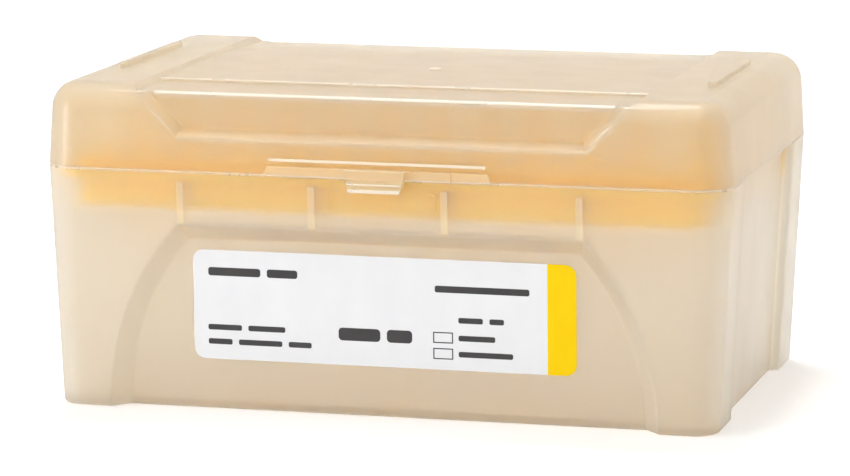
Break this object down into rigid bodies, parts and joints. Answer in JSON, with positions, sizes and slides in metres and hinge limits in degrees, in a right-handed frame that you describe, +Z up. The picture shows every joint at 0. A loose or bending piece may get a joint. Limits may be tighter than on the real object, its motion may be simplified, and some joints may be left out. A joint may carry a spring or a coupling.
{
  "type": "box of pipette tips",
  "caption": "Frosted hinged-lid rack box with a yellow tray holding twelve columns of eight pipette tips, and a label on its front.",
  "frame": {"origin": "centre of the base's flat underside", "axes": "+X along the front to the right, +Y from the front towards the hinge, +Z up"},
  "size_m": [0.124, 0.0883, 0.0591],
  "materials": {
    "base_plastic": "frosted translucent natural polypropylene",
    "lid_plastic": "frosted translucent natural polypropylene",
    "tray_plastic": "satin yellow polypropylene",
    "tip_plastic": "smooth translucent natural polypropylene",
    "label_film": "satin white film with a yellow end band and plain grey bars"
  },
  "bodies": {
    "box": {"base": "base_plastic", "tray": "tray_plastic", "label": "label_film", "tips_column_01": "tip_plastic", "tips_column_02": "tip_plastic", "tips_column_03": "tip_plastic", "tips_column_04": "tip_plastic", "tips_column_05": "tip_plastic", "tips_column_06": "tip_plastic", "tips_column_07": "tip_plastic", "tips_column_08": "tip_plastic", "tips_column_09": "tip_plastic", "tips_column_10": "tip_plastic", "tips_column_11": "tip_plastic", "tips_column_12": "tip_plastic"},
    "lid": {"lid": "lid_plastic"}
  },
  "joints": [
    {"name": "lid_hinge", "type": "hinge", "parent": "box", "child": "lid", "pos_m": [0, 0.0432, 0.04312], "axis": [-1, 0, 0], "range_deg": [0, 110]}
  ]
}
